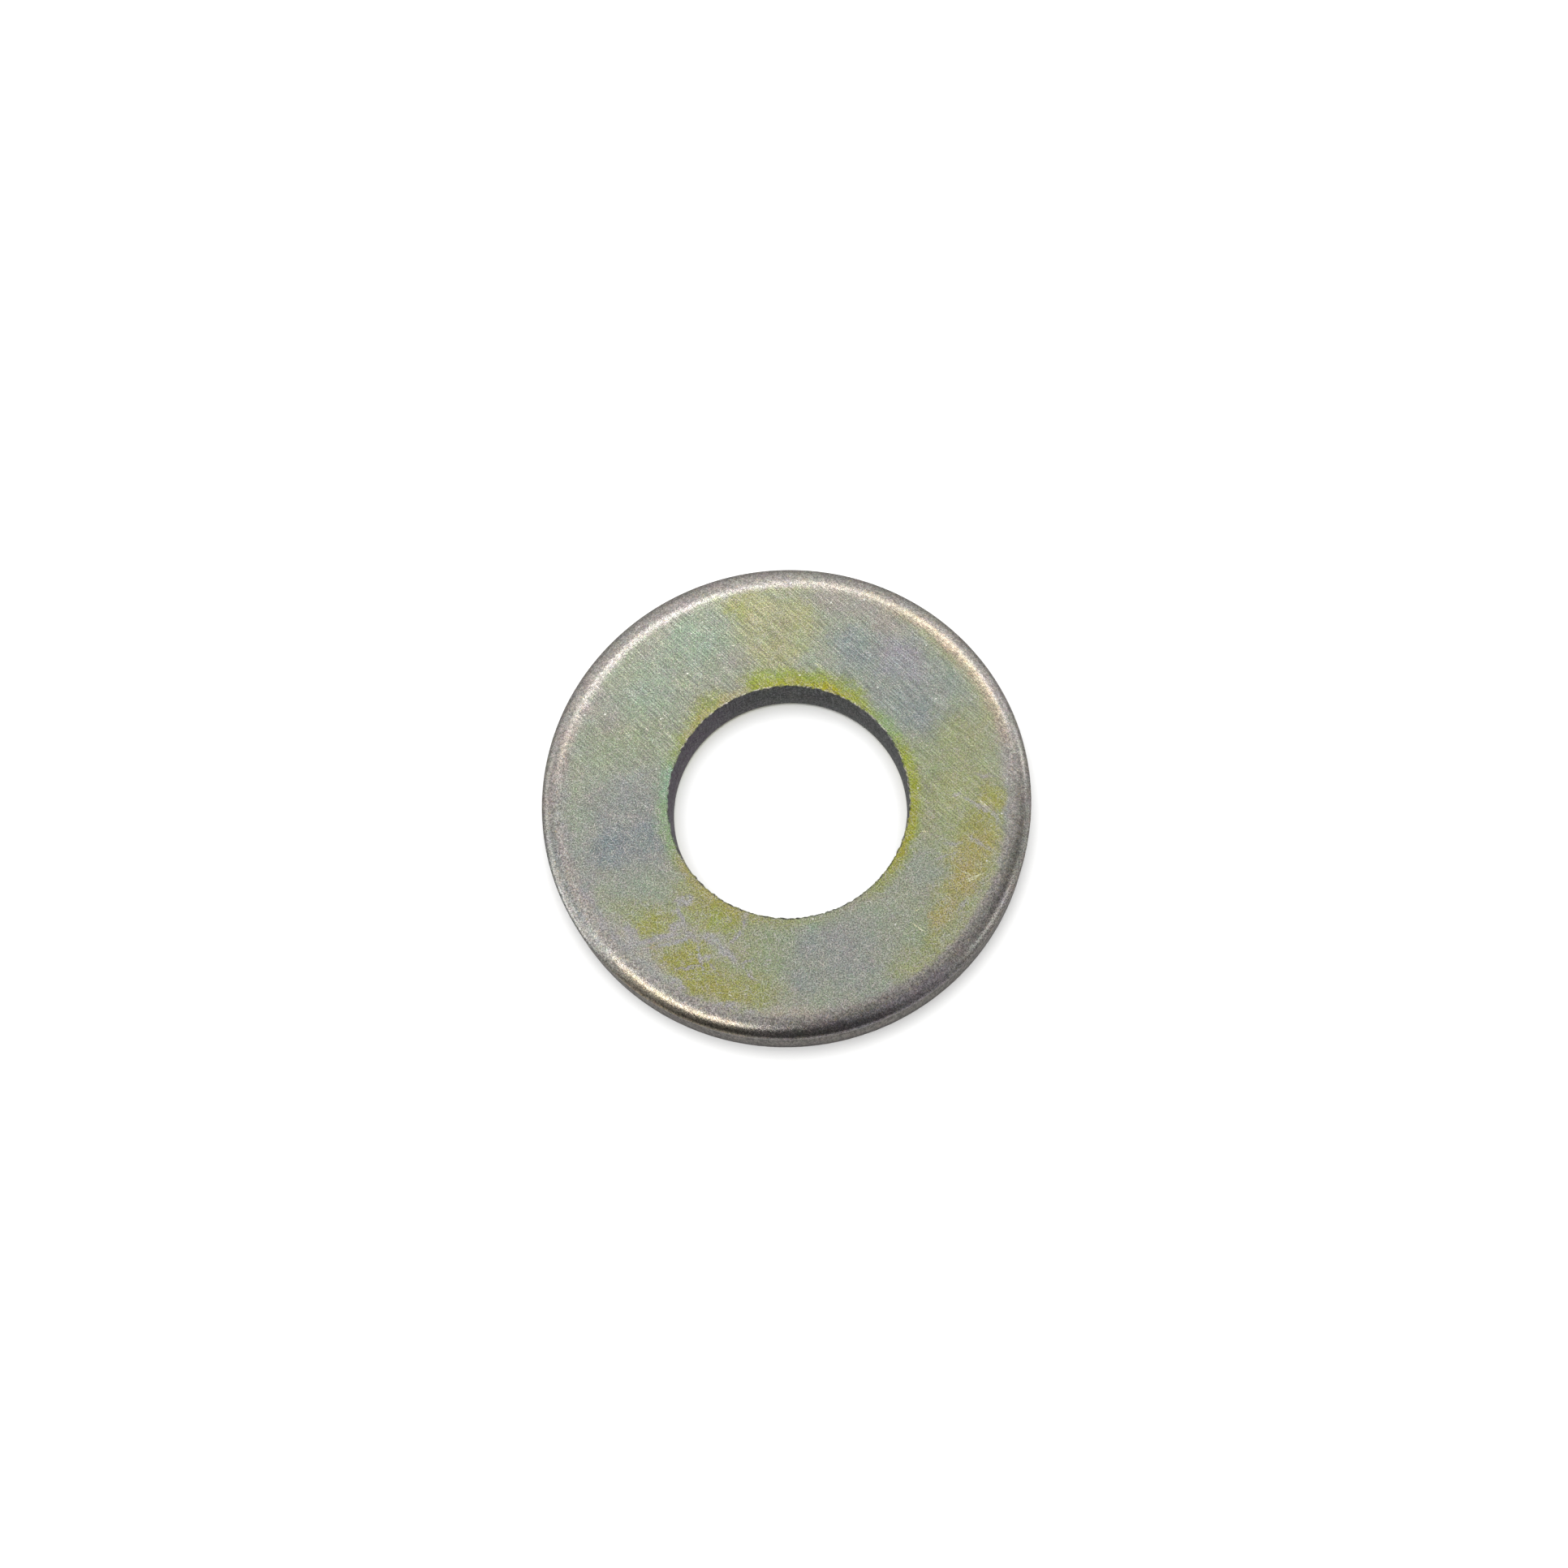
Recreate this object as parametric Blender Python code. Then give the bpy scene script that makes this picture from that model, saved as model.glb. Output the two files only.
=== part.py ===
"""Flat washer for a half-inch bolt: one ring, blanked and pierced from hardened steel strip.

Metres, +Z up. The origin is the centre of the underside and +Z is the washer's axis.
The press leaves a drawn-down, rounded edge where a punch or die pushes metal in, a smooth land where it
shears, and a slightly tapered break-out where the metal tears away. The blank's rounded edge is on the
upper face, and the bore's is on the underside, because the bore is pierced in the stroke before.
"""

import math

import bmesh
import bpy

MM = 0.001

OUTER_DIAMETER = 27.7 * MM
BORE_DIAMETER = 13.4 * MM
THICKNESS = 3.0 * MM

# Upper outer edge: how far the drawn-down corner reaches inwards and downwards.
RIM_ROLL_WIDTH = 1.4 * MM
RIM_ROLL_DEPTH = 0.45 * MM
# Sheared outer wall: the height of its smooth land, then the taper of its break-out and the broken lower corner.
RIM_LAND_HEIGHT = 1.0 * MM
RIM_BREAKOUT = 0.03 * MM
RIM_CORNER = 0.06 * MM

# The same features of the bore, the other way up.
BORE_ROLL_WIDTH = 0.6 * MM
BORE_ROLL_DEPTH = 0.35 * MM
BORE_LAND_HEIGHT = 1.15 * MM
BORE_BREAKOUT = 0.10 * MM

# A drawn-down corner is an elliptical arc that starts level with the face and stops short of upright,
# so that it meets the sheared land at a visible line.
ROLL_SWEEP = math.radians(75)
ROLL_STEPS = 6

SEGMENTS = 144
SHARP_ANGLE = math.radians(18)

PLATED_COLOUR = (0.31, 0.32, 0.25, 1.0)
PLATED_ROUGHNESS = 0.38


def clear_scene():
    for item in list(bpy.data.objects):
        bpy.data.objects.remove(item, do_unlink=True)


def drawn_corner(wall_radius, face_height, width, depth):
    """The points of a drawn-down corner, from the level face to the upright wall, as (radius, height).

    A negative width is a corner that closes on a bore, and a negative depth one on an underside.
    """
    width_axis = width / math.sin(ROLL_SWEEP)
    depth_axis = depth / (1 - math.cos(ROLL_SWEEP))
    points = []
    for step in range(ROLL_STEPS + 1):
        angle = ROLL_SWEEP * step / ROLL_STEPS
        radius = wall_radius - width + width_axis * math.sin(angle)
        height = face_height - depth_axis * (1 - math.cos(angle))
        points.append((radius, height))
    return points


def washer_profile():
    """The section's outline as (radius, height), closed, running down its outer side and up the bore."""
    rim_radius = OUTER_DIAMETER / 2
    rim_land_end = THICKNESS - RIM_ROLL_DEPTH - RIM_LAND_HEIGHT
    rim_foot = rim_radius - RIM_BREAKOUT
    bore_radius = BORE_DIAMETER / 2
    bore_land_end = BORE_ROLL_DEPTH + BORE_LAND_HEIGHT

    outline = drawn_corner(rim_radius, THICKNESS, RIM_ROLL_WIDTH, RIM_ROLL_DEPTH)
    outline.append((rim_radius, rim_land_end))
    outline.append((rim_foot, RIM_CORNER))
    outline.append((rim_foot - RIM_CORNER, 0.0))
    outline += drawn_corner(bore_radius, 0.0, -BORE_ROLL_WIDTH, -BORE_ROLL_DEPTH)
    outline.append((bore_radius, bore_land_end))
    outline.append((bore_radius + BORE_BREAKOUT, THICKNESS))
    return outline


def revolve(outline):
    """A closed ring: the outline turned about Z, with quads between neighbouring sections."""
    shape = bmesh.new()
    sections = []
    for segment in range(SEGMENTS):
        turn = 2 * math.pi * segment / SEGMENTS
        section = [shape.verts.new((r * math.cos(turn), r * math.sin(turn), z)) for r, z in outline]
        sections.append(section)
    for segment, section in enumerate(sections):
        following = sections[(segment + 1) % SEGMENTS]
        for index in range(len(outline)):
            after = (index + 1) % len(outline)
            shape.faces.new((section[index], section[after], following[after], following[index]))
    bmesh.ops.recalc_face_normals(shape, faces=shape.faces)
    mesh = bpy.data.meshes.new("washer")
    shape.to_mesh(mesh)
    shape.free()
    return mesh


def plated_steel():
    material = bpy.data.materials.new("yellow_zinc")
    material.use_nodes = True
    shader = material.node_tree.nodes["Principled BSDF"]
    shader.inputs["Base Color"].default_value = PLATED_COLOUR
    shader.inputs["Metallic"].default_value = 1.0
    shader.inputs["Roughness"].default_value = PLATED_ROUGHNESS
    return material


def build_washer():
    mesh = revolve(washer_profile())
    mesh.shade_smooth()
    mesh.set_sharp_from_angle(angle=SHARP_ANGLE)
    mesh.materials.append(plated_steel())
    washer = bpy.data.objects.new("washer", mesh)
    bpy.context.scene.collection.objects.link(washer)
    return washer


clear_scene()
build_washer()
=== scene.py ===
"""Looks for the flat washer: a finely modelled ring in yellow-chromated zinc, on a pale lit table.

Lengths are in metres in the mesh, the stage and the camera. The surface's colours are placed in millimetres
from the washer's axis, with +X to the right and +Y away from the camera. The ring's sizes come from the
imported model.
"""

import math

import bpy
import numpy as np
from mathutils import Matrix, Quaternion, Vector, noise


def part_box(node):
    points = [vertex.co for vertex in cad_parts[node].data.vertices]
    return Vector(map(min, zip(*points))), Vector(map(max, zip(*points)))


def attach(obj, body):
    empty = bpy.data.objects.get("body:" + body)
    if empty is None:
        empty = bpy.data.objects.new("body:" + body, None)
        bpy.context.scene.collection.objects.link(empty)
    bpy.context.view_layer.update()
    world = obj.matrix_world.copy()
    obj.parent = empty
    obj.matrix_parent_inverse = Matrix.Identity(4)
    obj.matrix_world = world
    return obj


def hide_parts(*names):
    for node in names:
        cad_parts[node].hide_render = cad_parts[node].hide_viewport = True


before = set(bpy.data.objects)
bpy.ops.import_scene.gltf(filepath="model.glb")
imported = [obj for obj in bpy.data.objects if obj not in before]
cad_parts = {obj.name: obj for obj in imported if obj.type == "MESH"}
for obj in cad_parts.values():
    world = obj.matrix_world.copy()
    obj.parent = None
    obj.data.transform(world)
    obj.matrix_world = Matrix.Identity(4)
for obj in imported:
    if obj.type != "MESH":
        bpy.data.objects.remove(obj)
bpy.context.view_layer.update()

MM = 0.001
NODE = "washer"

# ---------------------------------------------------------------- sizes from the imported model

low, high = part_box(NODE)
RIM_RADIUS = (high.x - low.x) / 2
TOP = high.z
BORE_RADIUS = min(math.hypot(v.co.x, v.co.y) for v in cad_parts[NODE].data.vertices)
MIDDLE_RADIUS = (RIM_RADIUS + BORE_RADIUS) / 2

# ---------------------------------------------------------------- shape of the pressed edges

RIM_ROLL_WIDTH = 1.4 * MM
RIM_ROLL_DEPTH = 0.45 * MM
RIM_LAND_HEIGHT = 1.0 * MM
RIM_BREAKOUT = 0.03 * MM
RIM_CORNER = 0.06 * MM
BORE_ROLL_WIDTH = 0.6 * MM
BORE_ROLL_DEPTH = 0.35 * MM
BORE_LAND_HEIGHT = 1.15 * MM
BORE_BREAKOUT = 0.10 * MM
ROLL_SWEEP = math.radians(75)
SHARP_ANGLE = math.radians(32)

# The burr that the piercing punch leaves round the top of the bore: a lip this wide that stands this far
# above the face. The face is that much lower, so that the lip's crest is the washer's full height.
LIP_WIDTH = 0.08 * MM
LIP_HEIGHT = 0.005 * MM

# Blanking and piercing are separate strokes, so the bore is a little off the blank's centre.
BORE_OFFSET = Vector((0.14 * MM, -0.33 * MM))

# Edge loops: round the ring, and along each part of its outline.
SEGMENTS = 840
FACE_STEPS = 20
RIM_ROLL_STEPS = 22
LAND_STEPS = 5
BREAKOUT_STEPS = 12
UNDERSIDE_STEPS = 18
BORE_ROLL_STEPS = 12
LIP_TURNS = (0.12, 0.3, 0.5, 0.7, 0.88)
LIP_SPACE = 0.02 * MM

# Unevenness along the pressed edges: how far apart its bumps are, and how far they move the surface.
RAGGED_REACH = 0.5 * MM
RAGGED_DEPTH = 0.06 * MM
TEAR_REACH = 2.5 * MM
TEAR_DEPTH = 0.22 * MM
GRAIN_REACH = 0.12 * MM
GRAIN_DEPTH = 0.012 * MM

RIM_SHOULDER = TOP - RIM_ROLL_DEPTH
LAND_END = RIM_SHOULDER - RIM_LAND_HEIGHT
FACE = TOP - LIP_HEIGHT


def spread(start, end, steps):
    """Points from start up to, but not including, end."""
    return [start + (end - start) * step / steps for step in range(steps)]


def corner_arc(wall, face, width, depth, steps):
    """A drawn-down corner as (radius, height), from the level face to the sheared wall."""
    width_axis = width / math.sin(ROLL_SWEEP)
    depth_axis = depth / (1 - math.cos(ROLL_SWEEP))
    points = []
    for angle in spread(0, ROLL_SWEEP, steps) + [ROLL_SWEEP]:
        radius = wall - width + width_axis * math.sin(angle)
        points.append((radius, face - depth_axis * (1 - math.cos(angle))))
    return points


def section():
    """The ring's outline, as arrays that hold one value for each point.

    They are radius, height, share of the bore's offset, roughness, share of the sheared land's unevenness,
    and raggedness. The outline runs outwards over the upper face, down the outer wall, in under the washer
    and up the bore.
    """
    lip_foot = BORE_RADIUS + BORE_BREAKOUT + LIP_WIDTH
    roll_start = RIM_RADIUS - RIM_ROLL_WIDTH
    rim_foot = RIM_RADIUS - RIM_BREAKOUT
    underside_inner = BORE_RADIUS + BORE_ROLL_WIDTH
    bore_land_end = BORE_ROLL_DEPTH + BORE_LAND_HEIGHT
    rows = []

    def add(radius, height, offset_share, rough=0.0, land=0.0, lip=0.0):
        rows.append((radius, height, offset_share, rough, land, lip))

    for radius in [lip_foot] + spread(lip_foot + LIP_SPACE, roll_start, FACE_STEPS):
        add(radius, FACE, (roll_start - radius) / (roll_start - lip_foot))
    roll_depth = RIM_ROLL_DEPTH - LIP_HEIGHT
    for radius, height in corner_arc(RIM_RADIUS, FACE, RIM_ROLL_WIDTH, roll_depth, RIM_ROLL_STEPS):
        add(radius, height, 0)
    for height in spread(RIM_SHOULDER, LAND_END, LAND_STEPS)[1:]:
        add(RIM_RADIUS, height, 0, land=(RIM_SHOULDER - height) / RIM_LAND_HEIGHT)
    for share in spread(0, 1, BREAKOUT_STEPS):
        height = LAND_END + (RIM_CORNER - LAND_END) * share
        add(RIM_RADIUS - RIM_BREAKOUT * share, height, 0, rough=min(1, 4 * share), land=1 - share)
    add(rim_foot, RIM_CORNER, 0, rough=0.5)
    add(rim_foot - 0.3 * RIM_CORNER, 0.3 * RIM_CORNER, 0, rough=0.3)
    for radius in spread(rim_foot - RIM_CORNER, underside_inner, UNDERSIDE_STEPS):
        add(radius, 0, (rim_foot - radius) / (rim_foot - underside_inner))
    for radius, height in corner_arc(BORE_RADIUS, 0, -BORE_ROLL_WIDTH, -BORE_ROLL_DEPTH, BORE_ROLL_STEPS):
        add(radius, height, 1)
    for height in spread(BORE_ROLL_DEPTH, bore_land_end, LAND_STEPS)[1:]:
        add(BORE_RADIUS, height, 1, land=(height - BORE_ROLL_DEPTH) / BORE_LAND_HEIGHT)
    for share in spread(0, 1, BREAKOUT_STEPS):
        height = bore_land_end + (FACE - bore_land_end) * share
        edge = max(0, 3 * share - 2)
        add(BORE_RADIUS + BORE_BREAKOUT * share, height, 1, min(1, 4 * share), 1 - share, edge)
    for turn in LIP_TURNS:
        add(lip_foot - LIP_WIDTH * (1 - turn), FACE + LIP_HEIGHT * math.sin(math.pi * turn), 1, lip=1)
    return np.array(rows).T


def ring_noise(angle, reach, seed):
    """Noise that closes on itself round the ring, with its bumps about this reach apart along the rim."""
    point = Vector((math.cos(angle), math.sin(angle), 0)) * (RIM_RADIUS / reach)
    return noise.fractal(point + Vector((0, 0, seed)), 1.0, 2.0, 3)


def ring_mesh():
    """The ring as a closed mesh of quads, with the pressed edges' unevenness in its points."""
    radius, height, offset_share, rough, land, lip = section()
    inwards = -np.sign(radius - MIDDLE_RADIUS)
    points = []
    for segment in range(SEGMENTS):
        angle = 2 * math.pi * segment / SEGMENTS
        direction = np.array((math.cos(angle), math.sin(angle)))
        ragged = ring_noise(angle, RAGGED_REACH, 3.0)
        tear = ring_noise(angle, TEAR_REACH, 9.0)
        r = radius + lip * RAGGED_DEPTH * ragged
        z = height + lip * np.maximum(height - FACE, 0) * np.clip(0.5 * ragged - 0.35, -0.9, 0)
        z = z + TEAR_DEPTH * tear * np.clip(land, 0, 1) * (height > 0)
        xy = np.outer(offset_share, BORE_OFFSET) + np.outer(r, direction)
        for index in np.nonzero(rough)[0]:
            grain = noise.fractal(Vector((*xy[index], 0.4 * z[index])) / GRAIN_REACH, 1.0, 2.0, 2)
            xy[index] += inwards[index] * direction * GRAIN_DEPTH * rough[index] * (1 + grain)
        points.append(np.column_stack((xy, z)))
    points = np.array(points)
    count = len(radius)
    here = np.arange(SEGMENTS * count).reshape(SEGMENTS, count)
    beside = np.roll(here, -1, axis=0)
    quads = np.stack((here, np.roll(here, -1, axis=1), np.roll(beside, -1, axis=1), beside), axis=-1)
    mesh = bpy.data.meshes.new(NODE)
    mesh.from_pydata(points.reshape(-1, 3).tolist(), [], quads.reshape(-1, 4).tolist())
    mesh.update()
    mesh.shade_smooth()
    mesh.set_sharp_from_angle(angle=SHARP_ANGLE)
    return mesh


# ---------------------------------------------------------------- node helpers


class Graph:
    """Short names for the shader nodes used here. Every method returns an output socket."""

    def __init__(self, tree):
        self.tree = tree

    def add(self, kind, inputs=(), **settings):
        node = self.tree.nodes.new(kind)
        for name, value in settings.items():
            setattr(node, name, value)
        for key, value in dict(inputs).items():
            self.feed(node.inputs[key], value)
        return node

    def feed(self, socket, value):
        if isinstance(value, bpy.types.NodeSocket):
            self.tree.links.new(value, socket)
        elif socket.type == "RGBA":
            socket.default_value = (*value, 1.0)[:4]
        else:
            socket.default_value = value

    def math(self, operation, a, b=0.0):
        return self.add("ShaderNodeMath", {0: a, 1: b}, operation=operation).outputs[0]

    def sum(self, a, b):
        return self.math("ADD", a, b)

    def times(self, a, b):
        return self.math("MULTIPLY", a, b)

    def vector(self, operation, a, b=(0, 0, 0)):
        node = self.add("ShaderNodeVectorMath", {0: a, 1: b}, operation=operation)
        return node.outputs["Value" if operation in ("LENGTH", "DOT_PRODUCT") else "Vector"]

    def along(self, axis, vector):
        return self.add("ShaderNodeSeparateXYZ", {0: vector}).outputs[axis]

    def scaled(self, a, factor):
        return self.add("ShaderNodeVectorMath", {0: a, "Scale": factor}, operation="SCALE").outputs[0]

    def noise(self, vector, scale, detail=2.0, roughness=0.5, colour=False):
        inputs = {"Vector": vector, "Scale": scale, "Detail": detail, "Roughness": roughness}
        return self.add("ShaderNodeTexNoise", inputs).outputs["Color" if colour else "Fac"]

    def fade(self, value, start, end, low=0.0, high=1.0):
        """A smooth step from low to high as value goes from start to end."""
        inputs = {"Value": value, "From Min": start, "From Max": end, "To Min": low, "To Max": high}
        step = self.add("ShaderNodeMapRange", inputs, interpolation_type="SMOOTHSTEP", clamp=False)
        return step.outputs[0]

    def mix(self, factor, a, b, blend="MIX"):
        node = self.add("ShaderNodeMix", data_type="RGBA", blend_type=blend, clamp_factor=True)
        for key, value in ((0, factor), (6, a), (7, b)):
            self.feed(node.inputs[key], value)
        return node.outputs[2]

    def turned(self, vector, degrees, stretch=(1, 1, 1)):
        """Coordinates in which a pattern comes out turned and stretched by this much."""
        inputs = {"Vector": vector, "Rotation": (0, 0, math.radians(degrees)), "Scale": stretch}
        return self.add("ShaderNodeMapping", inputs, vector_type="TEXTURE").outputs[0]

    def grey(self, value):
        return self.add("ShaderNodeCombineColor", {0: value, 1: value, 2: value}).outputs[0]

    def drift(self, vector, scale, amount, detail=3.0, roughness=0.6):
        """Noise vectors centred on zero, each component within about half of amount."""
        noise_colour = self.noise(vector, scale, detail, roughness, colour=True)
        return self.scaled(self.vector("SUBTRACT", noise_colour, (0.5, 0.5, 0.5)), amount)

    def by_angle(self, turn, stops):
        """Colour and strength round the washer, blended between stops of (degrees, colour, strength).

        The first two stops are the turn's two ends, -180 and 180; the others are in order between them.
        """
        node = self.add("ShaderNodeValToRGB", {0: turn})
        ramp = node.color_ramp
        ramp.interpolation = "EASE"
        for index, (degrees, colour, strength) in enumerate(stops):
            place = (degrees + 180) / 360
            stop = ramp.elements[index] if index < 2 else ramp.elements.new(place)
            stop.position = place
            stop.color = (*colour, strength)
        return node.outputs["Color"], node.outputs["Alpha"]


# ---------------------------------------------------------------- film colours, as linear reflectance

GREEN_GREY = (0.45, 0.48, 0.36)
TEAL = (0.40, 0.50, 0.38)
GREEN = (0.39, 0.47, 0.27)
SAGE = (0.49, 0.52, 0.26)
MOSS = (0.46, 0.49, 0.25)
SLATE = (0.37, 0.42, 0.39)
BLUE_SLATE = (0.33, 0.38, 0.39)
LAVENDER = (0.43, 0.43, 0.45)
VIOLET_GREY = (0.40, 0.40, 0.41)
LILAC = (0.55, 0.52, 0.48)
YELLOW_GREEN = (0.42, 0.49, 0.06)
BRIGHT_GREEN = (0.34, 0.54, 0.26)
EMERALD = (0.34, 0.54, 0.36)
OCHRE = (0.50, 0.47, 0.06)
PALE_YELLOW = (0.53, 0.52, 0.25)
OLIVE = (0.48, 0.47, 0.14)
AMBER = (0.55, 0.46, 0.16)
ROSE_GREY = (0.47, 0.44, 0.39)
ROSE_GOLD = (0.58, 0.51, 0.42)
ROLLED = (0.62, 0.58, 0.535)
ROLLED_DARK = (0.40, 0.375, 0.35)
GOLD = (0.75, 0.60, 0.38)
NEUTRAL = (0.98, 0.98, 0.98)
COOL = (0.90, 0.975, 1.0)
WARM = (1.0, 0.97, 0.92)
GOLDEN = (1.03, 0.95, 0.78)
VIOLET = (0.94, 0.92, 1.04)
BARE_ZINC = (0.72, 0.69, 0.64)
SCRATCHED = (0.95, 0.92, 0.60)
SCRAPED = (0.53, 0.51, 0.515)
# Painted sparkle: the colour of bright specks that stand in for glints.
PAINTED_SPARKLE = (0.95, 0.95, 0.88)
SHEARED = (0.47, 0.43, 0.39)
TORN = (0.21, 0.19, 0.17)
RIM_FOOT = (0.14, 0.13, 0.12)
# The bore wall's tones are painted shade: dark colours that stand in for the shade inside the bore,
# violet-tinted towards -X and with paler mottling.
PAINTED_BORE_SHADE = (0.10, 0.105, 0.10)
PAINTED_BORE_SHADE_VIOLET = (0.145, 0.105, 0.15)
PAINTED_BORE_SHADE_PALE = (0.30, 0.30, 0.30)

# Patches of film on the upper face: centre (x, y) and half-sizes in mm, turn in degrees, colour, strength.
FILM_PATCHES = (
    (0.9, 10.2, 2.8, 2.4, 0, PALE_YELLOW, 0.65),
    (-0.6, 11.8, 1.3, 0.8, -10, PALE_YELLOW, 0.7),
    (-1.1, 11.3, 0.6, 1.0, 35, YELLOW_GREEN, 0.3),
    (2.6, 10.4, 0.9, 1.2, 20, PALE_YELLOW, 0.5),
    (0.5, 8.5, 1.8, 0.9, 0, PALE_YELLOW, 0.6),
    (-3.9, 9.9, 2.2, 2.0, 10, TEAL, 0.75),
    (-6.8, 7.2, 2.2, 1.8, 40, TEAL, 0.5),
    (-8.6, 4.3, 2.2, 1.8, 0, GREEN, 0.4),
    (-6.3, 4.9, 0.9, 1.6, 40, GREEN, 0.3),
    (-9.6, 6.5, 1.0, 1.8, 35, ROSE_GREY, 0.5),
    (-6.2, 10.2, 1.6, 0.6, 35, ROSE_GREY, 0.4),
    (-1.5, 8.3, 1.1, 1.2, 20, ROSE_GREY, 0.35),
    (4.9, 11.2, 2.2, 1.0, -20, ROSE_GREY, 0.85),
    (6.9, 6.3, 4.0, 2.7, -50, SLATE, 0.7),
    (5.0, 8.3, 1.5, 1.3, -35, BLUE_SLATE, 0.7),
    (7.4, 9.2, 2.0, 1.1, -45, ROSE_GREY, 0.85),
    (7.9, 6.8, 2.0, 1.5, -60, LAVENDER, 0.9),
    (7.2, 4.9, 1.2, 1.2, 0, SLATE, 0.6),
    (8.5, 3.2, 1.7, 1.4, 0, BLUE_SLATE, 0.9),
    (10.2, 5.2, 1.1, 1.6, 30, SLATE, 0.5),
    (9.6, -1.4, 3.6, 4.4, 0, MOSS, 0.9),
    (10.6, 2.2, 1.8, 1.8, 0, MOSS, 0.7),
    (8.6, 0.3, 1.3, 0.9, 0, GREEN, 0.4),
    (9.6, -1.0, 1.6, 1.2, 0, SAGE, 0.6),
    (9.1, -6.3, 5.2, 1.6, 57, OLIVE, 0.6),
    (11.4, -1.9, 1.0, 1.1, 10, OLIVE, 0.9),
    (10.6, -3.6, 1.2, 1.4, -10, OLIVE, 0.7),
    (9.6, -5.4, 2.4, 1.0, 55, AMBER, 0.55),
    (9.2, -6.4, 1.1, 0.8, 45, AMBER, 0.6),
    (7.4, -8.3, 1.5, 0.6, 55, AMBER, 0.65),
    (6.8, -9.5, 0.9, 0.5, 55, OLIVE, 0.6),
    (5.3, -10.7, 1.5, 1.1, 20, MOSS, 0.8),
    (6.2, -8.9, 0.9, 1.1, 0, GREEN, 0.5),
    (4.2, -6.6, 1.0, 0.6, 0, ROSE_GREY, 0.45),
    (7.2, -5.4, 1.2, 0.8, 0, SLATE, 0.4),
    (1.8, -9.5, 3.0, 2.6, 0, VIOLET_GREY, 0.5),
    (1.7, -9.2, 1.6, 1.7, -10, LAVENDER, 0.4),
    (0.0, -8.7, 0.9, 1.1, 0, BLUE_SLATE, 0.35),
    (-0.3, -10.8, 0.9, 0.8, 0, SLATE, 0.6),
    (-2.4, -8.9, 1.6, 1.7, 0, GREEN, 0.6),
    (0.2, -7.6, 0.9, 0.5, 0, TEAL, 0.7),
    (-2.0, -12.2, 1.8, 0.7, 0, ROSE_GOLD, 0.6),
    (-5.8, -8.6, 3.9, 2.9, -35, MOSS, 0.9),
    (-7.0, -8.5, 1.7, 1.2, 5, OLIVE, 1.0),
    (-6.3, -9.8, 1.4, 1.3, 20, OLIVE, 0.9),
    (-4.9, -10.6, 2.0, 1.1, -20, OLIVE, 0.9),
    (-3.3, -10.9, 1.7, 1.0, -5, OLIVE, 0.55),
    (-8.7, -7.75, 0.6, 0.25, 20, AMBER, 0.9),
    (-8.7, -5.7, 2.5, 1.2, -5, MOSS, 0.9),
    (-8.6, -6.3, 1.6, 0.8, 0, OLIVE, 0.85),
    (-5.2, -5.8, 2.4, 1.2, -42, OLIVE, 0.75),
    (-4.3, -6.4, 1.4, 0.9, -30, YELLOW_GREEN, 0.5),
    (-9.4, -8.4, 2.3, 1.0, -45, LILAC, 0.9),
    (-10.9, -6.4, 1.1, 1.5, 20, LILAC, 0.9),
    (-7.0, -7.2, 2.2, 0.45, 0, LILAC, 0.55),
    (-4.6, -8.0, 1.7, 0.5, -60, LILAC, 0.5),
    (-9.0, -0.4, 2.8, 3.9, 0, VIOLET_GREY, 0.7),
    (-8.6, 1.2, 1.6, 1.2, 20, SLATE, 0.5),
    (-10.1, -1.6, 1.2, 1.4, 0, BLUE_SLATE, 0.95),
    (-8.1, -1.5, 1.2, 1.5, 0, BLUE_SLATE, 0.75),
    (-8.6, -3.9, 2.0, 0.9, 0, TEAL, 0.4),
    (-11.6, -2.6, 0.8, 2.2, 0, LAVENDER, 0.5),
)

# Where the film was scraped away: middle (x, y), half-length and half-width in mm, direction in degrees.
SCRAPES = (
    (-6.4, -5.2, 0.6, 0.38, 15),
    (-6.75, -6.1, 0.8, 0.16, -75),
    (-9.6, -6.6, 0.75, 0.42, -70),
    (-7.1, -6.6, 0.5, 0.35, 30),
    (-8.4, -7.15, 1.8, 0.2, 4),
    (-7.4, -7.5, 1.9, 0.13, 8),
    (-6.3, -7.3, 0.7, 0.12, -50),
    (-6.0, -8.6, 1.3, 0.09, -84),
    (-5.2, -7.6, 0.6, 0.38, -40),
    (-4.5, -8.5, 0.9, 0.22, -55),
    (-3.2, -6.9, 0.5, 0.2, 75),
    (-3.8, -7.7, 0.6, 0.17, 40),
    (-3.5, -9.2, 0.7, 0.09, 12),
    (-3.5, -9.8, 0.6, 0.12, -60),
    (-6.8, -9.0, 0.9, 0.12, 2),
    (-5.7, -8.65, 0.4, 0.25, 10),
    (-5.3, -9.3, 0.6, 0.07, -60),
    (-7.4, -9.8, 0.8, 0.22, -48),
    (-4.9, -11.5, 1.1, 0.3, -12),
    (-3.7, -12.0, 0.5, 0.22, -20),
    (10.7, -2.3, 1.3, 0.15, -34),
    (11.5, -3.0, 0.7, 0.16, -75),
    (10.3, -4.4, 1.1, 0.14, -40),
    (9.6, -1.5, 0.3, 0.18, 10),
    (8.9, -4.2, 0.6, 0.12, -10),
    (8.8, -7.8, 0.5, 0.14, 35),
    (8.3, -4.9, 0.9, 0.09, 12),
    (11.4, -0.6, 0.8, 0.09, -8),
)
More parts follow.
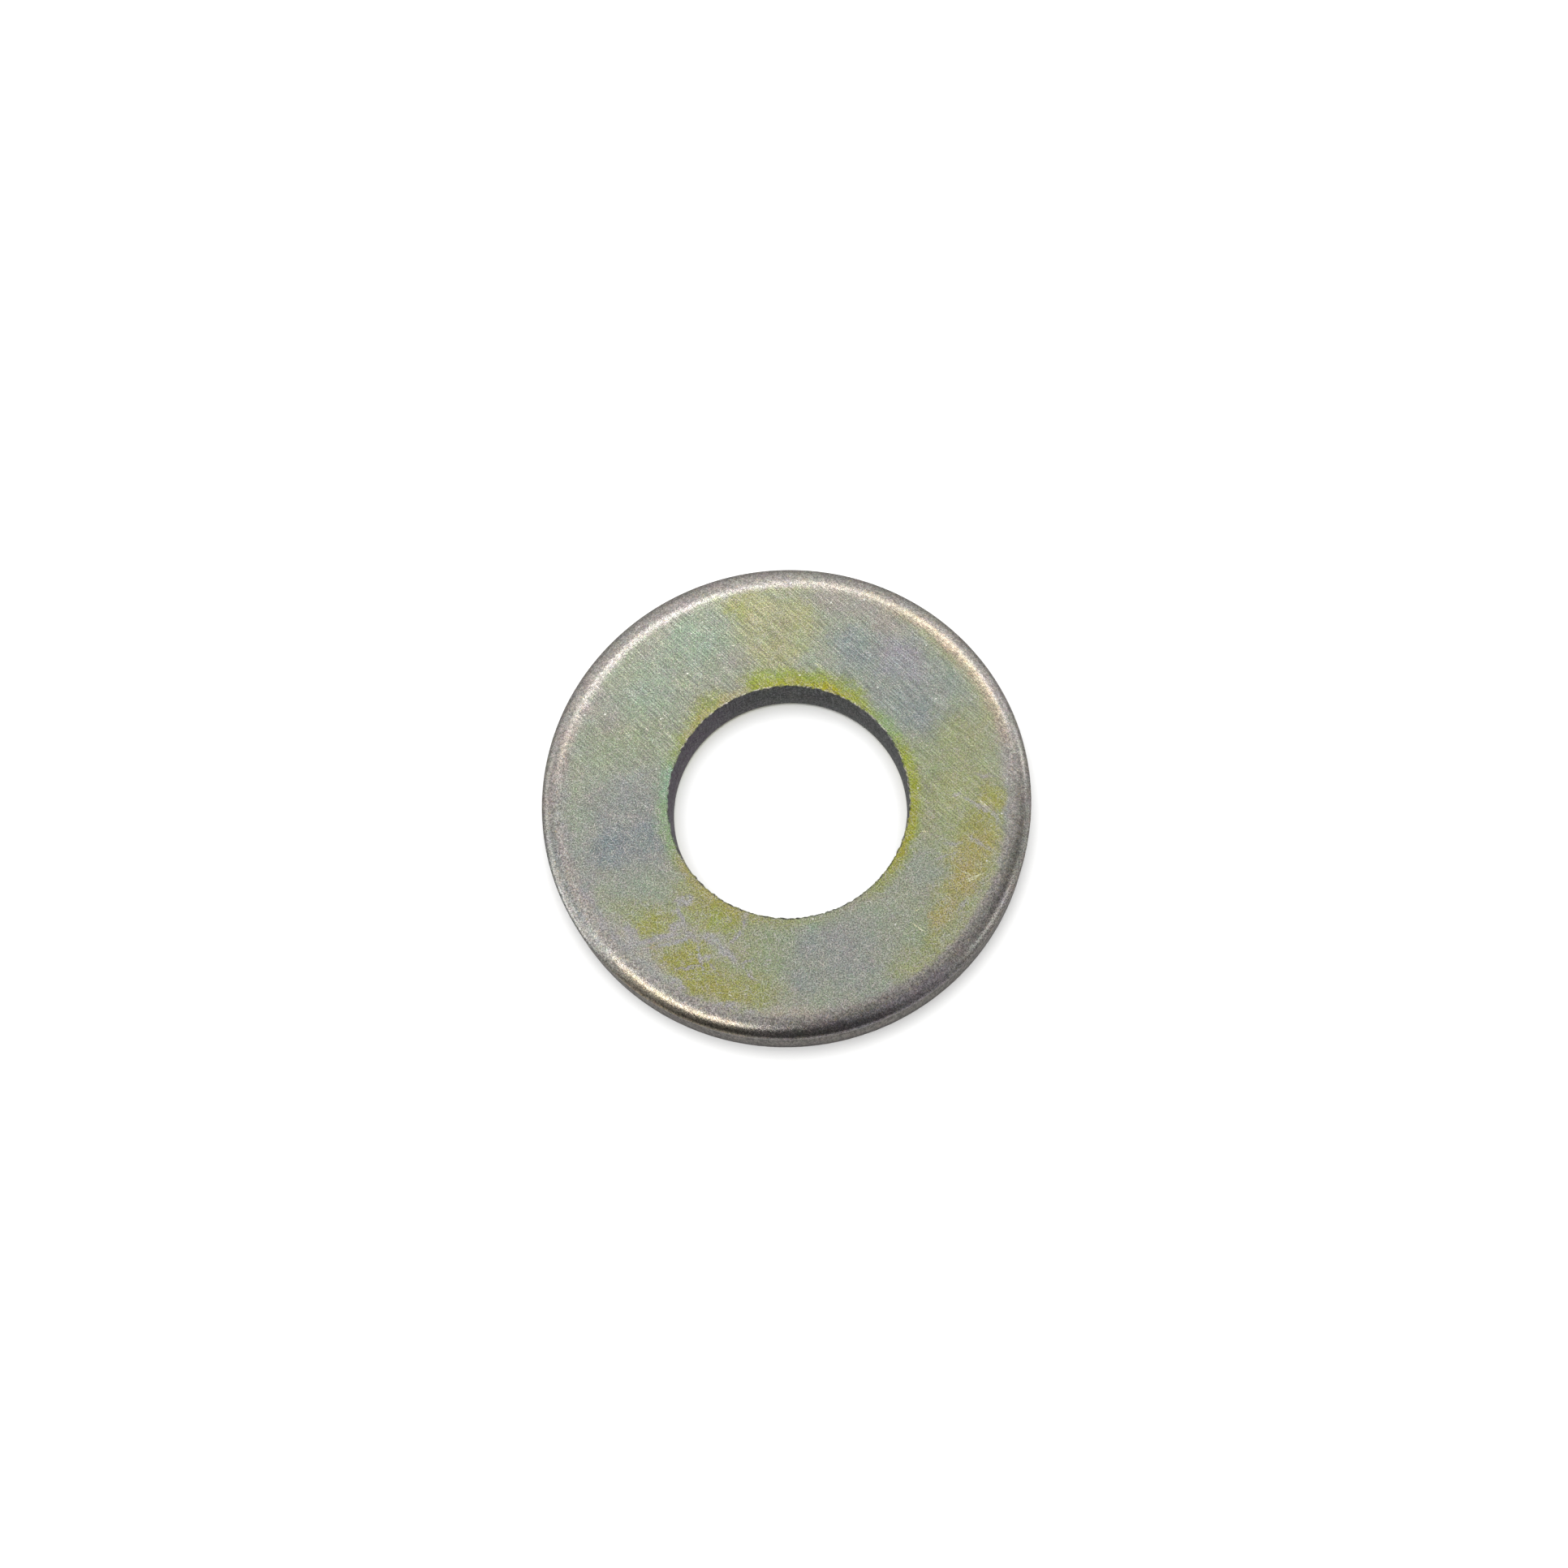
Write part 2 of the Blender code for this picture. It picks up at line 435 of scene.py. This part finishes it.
# Single bright scratches: middle (x, y) and half-length in mm, direction in degrees.
SCRATCHES = (
    (9.75, -6.3, 0.7, 12),
    (9.6, -6.45, 0.4, 12),
    (9.3, -6.0, 0.35, -30),
    (10.9, -2.15, 0.4, -50),
    (11.2, -5.8, 0.25, -55),
    (6.3, -7.7, 0.16, 5),
    (7.45, -3.3, 0.2, -15),
    (-4.6, -10.9, 0.14, -40),
    (6.2, -8.7, 0.6, -45),
    (3.0, 7.4, 0.3, -35),
    (-6.6, -11.2, 0.3, -25),
)
# In mm.
SCRATCH_HALF_WIDTH = 0.055

# Film along the bore: clock angle in degrees, colour, strength. The two ends of the turn come first.
BORE_FRINGE = (
    (-180, BRIGHT_GREEN, 0.7),
    (180, BRIGHT_GREEN, 0.7),
    (-163, BRIGHT_GREEN, 0.8),
    (-150, OLIVE, 0.75),
    (-135, OLIVE, 0.95),
    (-122, OLIVE, 0.8),
    (-105, YELLOW_GREEN, 0.4),
    (-88, GREEN, 0.5),
    (-70, GREEN_GREY, 0.1),
    (-52, YELLOW_GREEN, 0.6),
    (-38, YELLOW_GREEN, 0.85),
    (-18, YELLOW_GREEN, 0.85),
    (10, YELLOW_GREEN, 0.9),
    (28, BRIGHT_GREEN, 0.75),
    (45, YELLOW_GREEN, 0.85),
    (98, YELLOW_GREEN, 0.85),
    (108, ROSE_GREY, 0.3),
    (118, YELLOW_GREEN, 0.65),
    (148, YELLOW_GREEN, 0.5),
    (162, EMERALD, 0.85),
)
# The narrow ochre line at the bore's very edge.
BORE_EDGE = (
    (-180, AMBER, 0.0),
    (180, AMBER, 0.0),
    (-150, AMBER, 0.3),
    (-125, AMBER, 0.4),
    (-100, AMBER, 0.2),
    (-50, AMBER, 0.1),
    (-28, OCHRE, 0.9),
    (-10, OCHRE, 0.4),
    (8, OCHRE, 0.1),
    (40, OCHRE, 0.2),
    (60, OCHRE, 1.0),
    (75, OCHRE, 0.8),
    (95, OCHRE, 0.3),
    (110, AMBER, 0.5),
    (135, AMBER, 0.5),
    (150, AMBER, 0.0),
)
# Film along the rim, in the same way.
RIM_FILM = (
    (-180, VIOLET_GREY, 0.6),
    (180, VIOLET_GREY, 0.6),
    (-158, LAVENDER, 0.9),
    (-132, LAVENDER, 0.7),
    (-112, MOSS, 0.5),
    (-97, ROSE_GOLD, 0.85),
    (-75, VIOLET_GREY, 0.5),
    (-58, PALE_YELLOW, 0.5),
    (-32, PALE_YELLOW, 0.4),
    (-14, VIOLET_GREY, 0.9),
    (0, LILAC, 0.8),
    (14, PALE_YELLOW, 0.5),
    (35, AMBER, 0.3),
    (62, ROSE_GREY, 0.8),
    (88, PALE_YELLOW, 0.5),
    (112, ROSE_GREY, 0.7),
    (128, GREEN_GREY, 0.4),
    (150, ROSE_GREY, 0.7),
)
# The drawn-down rim: clock angle in degrees, tint, and how bright the band near its outer edge is, a band
# that is partly rubbed bare and partly painted highlight.
ROLL = (
    (-180, COOL, 0.6),
    (180, COOL, 0.6),
    (-150, COOL, 0.7),
    (-136, GOLDEN, 0.2),
    (-118, GOLDEN, 0.2),
    (-100, NEUTRAL, 0.1),
    (-80, VIOLET, 0.1),
    (-60, VIOLET, 0.1),
    (-47, NEUTRAL, 0.7),
    (-30, NEUTRAL, 0.7),
    (-14, NEUTRAL, 0.8),
    (0, NEUTRAL, 1.0),
    (15, GOLDEN, 0.6),
    (40, GOLDEN, 0.3),
    (65, WARM, 0.3),
    (85, NEUTRAL, 0.3),
    (140, NEUTRAL, 0.3),
    (160, WARM, 0.4),
)
# Where the zones of the face change, in mm. Each is a pair: not yet there, and fully there.
FRINGE_EDGE = (2.25, 1.4)
FRINGE_NARROWED = 0.45
BORE_LINE_EDGE = (1.4, 1.0)
RIM_FILM_EDGE = (12.65, 13.2)
ROLL_EDGE = (12.85, 13.25)
CREST_RADIUS = 13.17
# Radius of the bright band near the rim's outer edge: partly rubbed bare, partly painted highlight.
RIM_RUBBED_HIGHLIGHT_RADIUS = 13.66

GRAIN_DEGREES = -52
# Directions in degrees of the fine random hairlines on both faces.
HAIRLINES = (8, 37, 71, 98, 131, 164)
UNDERSIDE_TURN = 137
RELIEF_DEPTH = 0.006 * MM
# A patch's gradient runs this many times further than its half-sizes.
PATCH_REACH = 1.5


def patch(g, flat, x, y, half_x, half_y, turn, strength, soft=1.0):
    """How far a spot is covered by an elliptical patch with a soft edge."""
    ball = g.add("ShaderNodeTexGradient", {"Vector": flat}, gradient_type="SPHERICAL")
    ball.texture_mapping.vector_type = "TEXTURE"
    ball.texture_mapping.translation = (x, y, 0)
    ball.texture_mapping.rotation = (0, 0, math.radians(turn))
    ball.texture_mapping.scale = (PATCH_REACH * half_x, PATCH_REACH * half_y, PATCH_REACH)
    outside, inside = (1 - (0.85 + side * 0.5 * soft) / PATCH_REACH for side in (1, -1))
    return g.fade(ball.outputs["Fac"], outside, inside, 0, strength)


def clock(g, flat):
    """The angle round the washer's axis, as a share of a full turn that starts at the -X side."""
    xy = g.add("ShaderNodeSeparateXYZ", {0: flat})
    turn = g.math("ARCTAN2", xy.outputs["Y"], xy.outputs["X"])
    return g.sum(g.math("DIVIDE", turn, 2 * math.pi), 0.5)


def face_film(g, place, flat, bore_distance, radius):
    """The chromate film on the faces: placed patches, a fringe along the bore and a band along the rim."""
    film = g.mix(g.fade(g.noise(place, 0.5, 3.0), 0.40, 0.62, 0, 0.45), GREEN_GREY, TEAL)
    for x, y, half_x, half_y, degrees, colour, strength in FILM_PATCHES:
        film = g.mix(patch(g, flat, x, y, half_x, half_y, degrees, strength), film, colour)
    turn = clock(g, flat)
    # The fringe is wider on the far side of the bore.
    colour, strength = g.by_angle(turn, BORE_FRINGE)
    ragged = g.sum(bore_distance, g.times(g.noise(place, 1.5, 4.0, 0.7), 1.3))
    reach = g.sum(ragged, g.fade(g.along("Y", flat), 4.5, 6.5, FRINGE_NARROWED, 0.0))
    film = g.mix(g.times(strength, g.fade(reach, *FRINGE_EDGE)), film, colour)
    colour, strength = g.by_angle(turn, BORE_EDGE)
    film = g.mix(g.times(strength, g.fade(ragged, *BORE_LINE_EDGE)), film, colour)
    colour, strength = g.by_angle(turn, RIM_FILM)
    reach = g.sum(radius, g.times(g.noise(place, 0.9, 4.0, 0.6), 1.2))
    return g.mix(g.times(strength, g.fade(reach, *RIM_FILM_EDGE)), film, colour)


def scraped_film(g, place, spot, film):
    """The film where it was scraped off, more lightly on the right, and single bright scratches."""
    wavy = g.vector("ADD", spot, g.drift(place, 1.5, 0.5))
    wavy = g.vector("ADD", wavy, g.drift(place, 6.0, 0.42))
    bare = 0.0
    for x, y, half_length, half_width, degrees in SCRAPES:
        scrape = patch(g, wavy, x, y, half_length, half_width, degrees, 0.95, soft=0.7)
        bare = g.math("MAXIMUM", bare, scrape)
    bare = g.times(bare, g.fade(g.noise(place, 3.5, 4.0, 0.7), 0.36, 0.52, 0.25, 1.0))
    bare = g.times(bare, g.fade(g.along("X", spot), 2, 6, 1.0, 0.75))
    film = g.mix(bare, film, SCRAPED)
    bright = 0.0
    bent = g.vector("ADD", spot, g.drift(place, 2.0, 0.12))
    for x, y, half_length, degrees in SCRATCHES:
        line = patch(g, bent, x, y, half_length, SCRATCH_HALF_WIDTH, degrees, 1.0, soft=0.6)
        bright = g.math("MAXIMUM", bright, line)
    return g.mix(g.times(bright, g.fade(g.noise(place, 9.0), 0.35, 0.5)), film, SCRATCHED)


def felted(g, place, film, far_half):
    """The film with fine pale hairlines in all directions, strongest on the near half."""
    hair = 0.0
    for degrees in HAIRLINES:
        lines = g.noise(g.turned(place, degrees, (0.8, 0.05, 1.0)), 1.0, 0.5)
        hair = g.math("MAXIMUM", hair, g.fade(lines, 0.645, 0.70))
    return g.mix(g.times(hair, g.fade(far_half, 0, 1, 0.6, 0.45)), film, BARE_ZINC)


def rolled_rim(g, place, radius, turn):
    """The drawn-down rim: mottled plain zinc, tinted by place, with a bright band near its outer edge that
    is partly rubbed bare and partly painted highlight.
    """
    mottle = g.noise(place, 5.0, 3.0, 0.7)
    tint, wear_and_highlight = g.by_angle(turn, ROLL)
    surface = g.mix(g.fade(mottle, 0.35, 0.65), ROLLED_DARK, ROLLED)
    surface = g.mix(g.fade(g.noise(place, 7.0, 2.0, 0.7), 0.60, 0.70, 0, 0.6), surface, GOLD)
    # The tint lies inside the crest on the far side and outside it on the near side.
    side = g.fade(g.along("Y", place), -3, 3, -1, 1)
    inwards = g.times(g.math("SUBTRACT", CREST_RADIUS, radius), side)
    surface = g.mix(g.fade(inwards, -0.15, 0.12), surface, tint, "MULTIPLY")
    crest = g.sum(radius, g.times(g.noise(place, 0.8), 0.12))
    # A bright band near the outer edge: partly rubbed bare, partly painted highlight.
    rubbed_highlight = g.fade(g.math("ABSOLUTE", g.math("SUBTRACT", crest, RIM_RUBBED_HIGHLIGHT_RADIUS)), 0.2, 0.05)
    rubbed_highlight = g.times(g.times(rubbed_highlight, wear_and_highlight), g.fade(mottle, 0.3, 0.6, 0.4, 1.0))
    return g.mix(rubbed_highlight, surface, BARE_ZINC)


def sheared_walls(g, place, bore_distance, height):
    """The outer wall, dragged along the stroke and dark at its foot, with a pale band at its top that is
    partly rubbed bare and partly painted highlight, and the bore's wall in painted shade.
    """
    drag = g.noise(g.vector("MULTIPLY", place, (6.0, 6.0, 1.5)), 1.0, 4.0, 0.75)
    outer = g.mix(g.fade(drag, 0.40, 0.60), SHEARED, TORN)
    outer = g.mix(g.fade(height, 1.0, 0.1, 0, 0.85), outer, RIM_FOOT)
    # A pale band at the top of the outer wall: partly rubbed bare, partly painted highlight.
    shoulder = RIM_SHOULDER / MM
    outer = g.mix(g.fade(height, shoulder - 0.22, shoulder - 0.10, 0, 0.6), outer, BARE_ZINC)
    # The bore's wall in painted shade: dark, violet-tinted towards -X, with paler mottling.
    bore_shade = g.mix(g.fade(g.along("X", place), 0, -5), PAINTED_BORE_SHADE, PAINTED_BORE_SHADE_VIOLET)
    bore_shade = g.mix(g.fade(g.noise(place, 9.0, 3.0, 0.7), 0.42, 0.66), bore_shade, PAINTED_BORE_SHADE_PALE)
    return g.mix(g.fade(bore_distance, 3.0, 2.0), outer, bore_shade)


def bore_lip_shade_and_highlights(g, place, surface, bore_distance, height, far_half):
    """The burr round the top of the bore: a broken dark line of painted shade, with pale painted highlights
    on the far half.
    """
    top = TOP / MM
    # The dark line is painted shade on the burr's shaded side; the pale spots on the far half are painted
    # highlights.
    lip = g.times(g.fade(bore_distance, 0.22, 0.15), g.fade(height, top - 0.07, top - 0.025))
    pits = g.fade(g.noise(place, 4.0, 2.0, 0.6), 0.40, 0.60, 0.35, 0.95)
    painted_glints = g.times(g.fade(g.noise(place, 2.2), 0.50, 0.60), far_half)
    return g.mix(g.times(lip, pits), surface, g.mix(painted_glints, PAINTED_BORE_SHADE, LILAC))


def grained(g, place, surface, radius, far_half, brushed, speckle):
    """The surface shaded by brushed streaks and fine speckle, with its hue wandering a little."""
    streaks = g.times(g.fade(brushed, 0.35, 0.75, -0.14, 0.37), g.fade(radius, 12.6, 13.0, 1.0, 0.3))
    shade = g.sum(0.945, g.times(streaks, g.fade(far_half, 0, 1, 0.35, 1.0)))
    grains = g.times(g.fade(speckle, 0.25, 0.75, -0.62, 0.62), g.fade(far_half, 0, 1, 1.0, 0.75))
    surface = g.mix(1.0, surface, g.grey(g.sum(shade, grains)), "MULTIPLY")
    hues = g.vector("ADD", g.drift(place, 8.0, 0.26, 2.0, 0.7), g.drift(place, 1.0, 0.22, 3.0, 0.7))
    return g.vector("ADD", surface, g.vector("MULTIPLY", surface, hues))


def with_painted_sparkle(g, place, surface, level):
    """The surface with sparse bright specks on its level parts, painted sparkle that stands in for glints
    of light.
    """
    # Sparse bright specks painted into the colour as sparkle.
    cells = g.add("ShaderNodeTexVoronoi", {"Vector": place, "Scale": 1.6})
    chosen = g.along("X", cells.outputs["Color"])
    sparkle_mask = g.times(g.fade(cells.outputs["Distance"], 0.11, 0.06), g.fade(chosen, 0.74, 0.78))
    return g.mix(g.times(sparkle_mask, g.fade(level, 0.4, 0.6)), surface, PAINTED_SPARKLE)


def chromated_zinc():
    material = bpy.data.materials.new("yellow_chromated_zinc")
    material.use_nodes = True
    shader = material.node_tree.nodes["Principled BSDF"]
    g = Graph(material.node_tree)

    # Coordinates in mm. The underside has its patches elsewhere: its coordinates are turned.
    place = g.scaled(g.add("ShaderNodeTexCoord").outputs["Object"], 1 / MM)
    height = g.along("Z", place)
    level = g.math("ABSOLUTE", g.along("Z", g.add("ShaderNodeNewGeometry").outputs["Normal"]))
    spot = g.vector("MULTIPLY", place, (1, 1, 0))
    radius = g.vector("LENGTH", spot)
    bore_middle = (BORE_OFFSET.x / MM, BORE_OFFSET.y / MM, 0)
    from_bore = g.vector("LENGTH", g.vector("SUBTRACT", spot, bore_middle))
    bore_distance = g.math("SUBTRACT", from_bore, BORE_RADIUS / MM)
    spot = g.mix(g.fade(height, 1.4, 1.6), g.turned(spot, UNDERSIDE_TURN), spot)
    far_half = g.fade(g.vector("DOT_PRODUCT", spot, (0.35, 0.94, 0)), -5.0, 3.0)

    # Patches have soft, uneven edges: their coordinates wander by a broad and a fine noise.
    flat = g.vector("ADD", spot, g.drift(place, 0.7, 1.8, 4.0))
    flat = g.vector("ADD", flat, g.drift(place, 4.5, 1.3, 3.0, 0.7))
    film = scraped_film(g, place, spot, face_film(g, place, flat, bore_distance, radius))
    film = felted(g, place, film, far_half)

    # The drawn-down rim, the sheared walls and the pierced hole's lip each have their own tone; the bore
    # wall and the lip's dark line are painted shade, and the lip's pale spots and part of the rim's bright
    # edge band are painted highlight.
    reach = g.sum(radius, g.times(g.noise(place, 1.8, 3.0, 0.6), 0.9))
    surface = g.mix(g.fade(reach, *ROLL_EDGE), film, rolled_rim(g, place, radius, clock(g, spot)))
    wall = g.fade(level, 0.30, 0.22)
    surface = g.mix(wall, surface, sheared_walls(g, place, bore_distance, height))
    surface = bore_lip_shade_and_highlights(g, place, surface, bore_distance, height, far_half)

    # Brushed grain across the far half, and fine speckle everywhere.
    brushed = g.noise(g.turned(place, GRAIN_DEGREES, (1.6, 0.07, 1.0)), 1.0, 3.0, 0.6)
    speckle = g.noise(place, 13.0, 2.0, 0.75)
    surface = grained(g, place, surface, radius, far_half, brushed, speckle)
    g.feed(shader.inputs["Base Color"], with_painted_sparkle(g, place, surface, level))

    shader.inputs["Metallic"].default_value = 1.0
    sheen = g.fade(brushed, 0.25, 0.75, 0.17, 0.25)
    g.feed(shader.inputs["Roughness"], g.mix(wall, g.grey(sheen), (0.5, 0.5, 0.5)))
    relief = g.sum(g.times(brushed, 0.7), speckle)
    relief = g.times(relief, g.fade(radius, 12.4, 12.8, 1.0, 0.65))
    bump = g.add("ShaderNodeBump", {"Height": relief, "Strength": 1.0, "Distance": RELIEF_DEPTH})
    g.feed(shader.inputs["Normal"], bump.outputs[0])
    return material


def build_washer():
    washer = bpy.data.objects.new("washer_plated", ring_mesh())
    bpy.context.scene.collection.objects.link(washer)
    washer.data.materials.append(chromated_zinc())
    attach(washer, "root")
    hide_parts(NODE)
    return washer


# ---------------------------------------------------------------- stage

FLOOR_HALF = 4.0
FLOOR_COLOUR = (0.92, 0.92, 0.915, 1)
FLOOR_ROUGHNESS = 0.9


def build_floor():
    corners = [(x * FLOOR_HALF, y * FLOOR_HALF, 0) for x, y in ((-1, -1), (1, -1), (1, 1), (-1, 1))]
    mesh = bpy.data.meshes.new("floor")
    mesh.from_pydata(corners, [], [(0, 1, 2, 3)])
    floor = bpy.data.objects.new("floor", mesh)
    material = bpy.data.materials.new("pale_table")
    material.use_nodes = True
    shader = material.node_tree.nodes["Principled BSDF"]
    shader.inputs["Base Color"].default_value = FLOOR_COLOUR
    shader.inputs["Roughness"].default_value = FLOOR_ROUGHNESS
    mesh.materials.append(material)
    bpy.context.scene.collection.objects.link(floor)
    floor.visible_glossy = False


def toward(azimuth, elevation):
    """The direction at this azimuth, counted anticlockwise from +X, and elevation, in degrees."""
    a, e = math.radians(azimuth), math.radians(elevation)
    return Vector((math.cos(a) * math.cos(e), math.sin(a) * math.cos(e), math.sin(e)))


LIGHT_DISTANCE = 0.8
# Long soft boxes that only the metal shows: name, azimuth, elevation, width, height, radiance.
SOFT_BOXES = (
    ("back", 99, 58.5, 0.15, 0.08, 4.1),
    ("back_left", 117, 54.8, 0.12, 0.07, 3.5),
    ("back_left_end", 131, 53, 0.08, 0.07, 1.6),
    ("back_middle", 76, 51, 0.18, 0.07, 2.8),
    ("back_right", 54, 50, 0.18, 0.10, 2.7),
    ("right_high", 39, 47, 0.12, 0.08, 2.1),
    ("right", 20, 31, 0.12, 0.16, 0.7),
    ("right_low", -8, 14, 0.50, 0.20, 0.25),
    ("front_right", -22, 36, 0.26, 0.22, 0.5),
    ("left", -160, 61.5, 0.20, 0.12, 3.0),
    ("left_middle", -173, 46, 0.14, 0.16, 0.4),
    ("left_low", -176, 14, 0.30, 0.22, 0.9),
    ("front_left", -134, 63.5, 0.16, 0.12, 3.5),
    ("front_left_end", -116, 67, 0.06, 0.11, 1.4),
)
# The light over the table, which the metal doesn't show: size and radiance.
TABLE_LIGHT_SIZE = 0.7
TABLE_LIGHT_RADIANCE = 5.4


def build_light(name, direction, width, height, radiance):
    light = bpy.data.lights.new(name, "AREA")
    light.shape = "RECTANGLE"
    light.size, light.size_y = width, height
    light.energy = radiance * math.pi * width * height
    lamp = bpy.data.objects.new(name, light)
    lamp.location = direction * LIGHT_DISTANCE
    lamp.rotation_mode = "QUATERNION"
    lamp.rotation_quaternion = direction.to_track_quat("Z", "Y")
    lamp.visible_camera = False
    bpy.context.scene.collection.objects.link(lamp)
    return lamp


def build_lights():
    for name, azimuth, elevation, width, height, radiance in SOFT_BOXES:
        lamp = build_light(name, toward(azimuth, elevation), width, height, radiance)
        lamp.visible_diffuse = False
    table = build_light("table", toward(90, 89), TABLE_LIGHT_SIZE, TABLE_LIGHT_SIZE, TABLE_LIGHT_RADIANCE)
    table.visible_glossy = False


ROOM_LIGHT = 0.825
ROOM_SHADE = 0.07
SHADE_SIDE = toward(-66, 0)
TABLE_GLOW = 0.39
UNDER_LIGHT = 0.44
# Broad glows in the room: azimuth, elevation, reach in degrees, added radiance.
GLOWS = (
    (150, 33, 20, 0.10),
    (153, 47, 17, -0.28),
    (170, 22, 24, 0.12),
    (-30, 28, 38, 0.26),
    (18, 20, 30, 0.24),
    (-41, 64, 18, 0.28),
    (-5, 72, 14, 0.08),
    (-138, 79, 12, 0.10),
    (101, 62, 16, -0.36),
)


def build_world():
    """A pale room, dark on the side where the camera stands, with broad soft glows."""
    world = bpy.data.worlds.new("studio")
    world.use_nodes = True
    world.cycles.sampling_method = "NONE"
    bpy.context.scene.world = world
    g = Graph(world.node_tree)
    direction = g.vector("NORMALIZE", g.add("ShaderNodeTexCoord").outputs["Generated"])
    facing = g.vector("DOT_PRODUCT", direction, tuple(SHADE_SIDE))
    level = g.fade(facing, -0.37, 0.40, ROOM_LIGHT, ROOM_SHADE)
    for azimuth, elevation, reach, radiance in GLOWS:
        facing = g.vector("DOT_PRODUCT", direction, tuple(toward(azimuth, elevation)))
        level = g.sum(level, g.fade(facing, math.cos(math.radians(reach)), 1.0, 0, radiance))
    down = g.vector("DOT_PRODUCT", direction, (0, 0, -1))
    level = g.times(level, g.fade(down, -0.75, -0.1, 1.0, 0.56))
    level = g.mix(g.fade(down, -0.42, 0.0), g.grey(level), (TABLE_GLOW,) * 3)
    colour = g.mix(g.fade(down, 0.85, 0.97), level, (UNDER_LIGHT,) * 3)
    g.feed(world.node_tree.nodes["Background"].inputs["Color"], colour)


CAMERA_ELEVATION = math.radians(72.9)
CAMERA_ROLL = math.radians(-8.5)
CAMERA_DISTANCE = 9.27 * RIM_RADIUS
CAMERA_AIM = Vector((0.03 * MM, 0.665 * MM, TOP))
CAMERA_LENS = 52.2


def build_camera():
    camera = bpy.data.objects.new("camera", bpy.data.cameras.new("camera"))
    camera.data.lens = CAMERA_LENS
    camera.data.clip_start = 0.01
    back = Vector((0, -math.cos(CAMERA_ELEVATION), math.sin(CAMERA_ELEVATION)))
    camera.location = CAMERA_AIM + back * CAMERA_DISTANCE
    camera.rotation_mode = "QUATERNION"
    camera.rotation_quaternion = (-back).to_track_quat("-Z", "Y") @ Quaternion((0, 0, 1), CAMERA_ROLL)
    bpy.context.scene.collection.objects.link(camera)
    bpy.context.scene.camera = camera


build_camera()
build_washer()
build_floor()
build_lights()
build_world()
bpy.context.scene.view_settings.view_transform = "Standard"
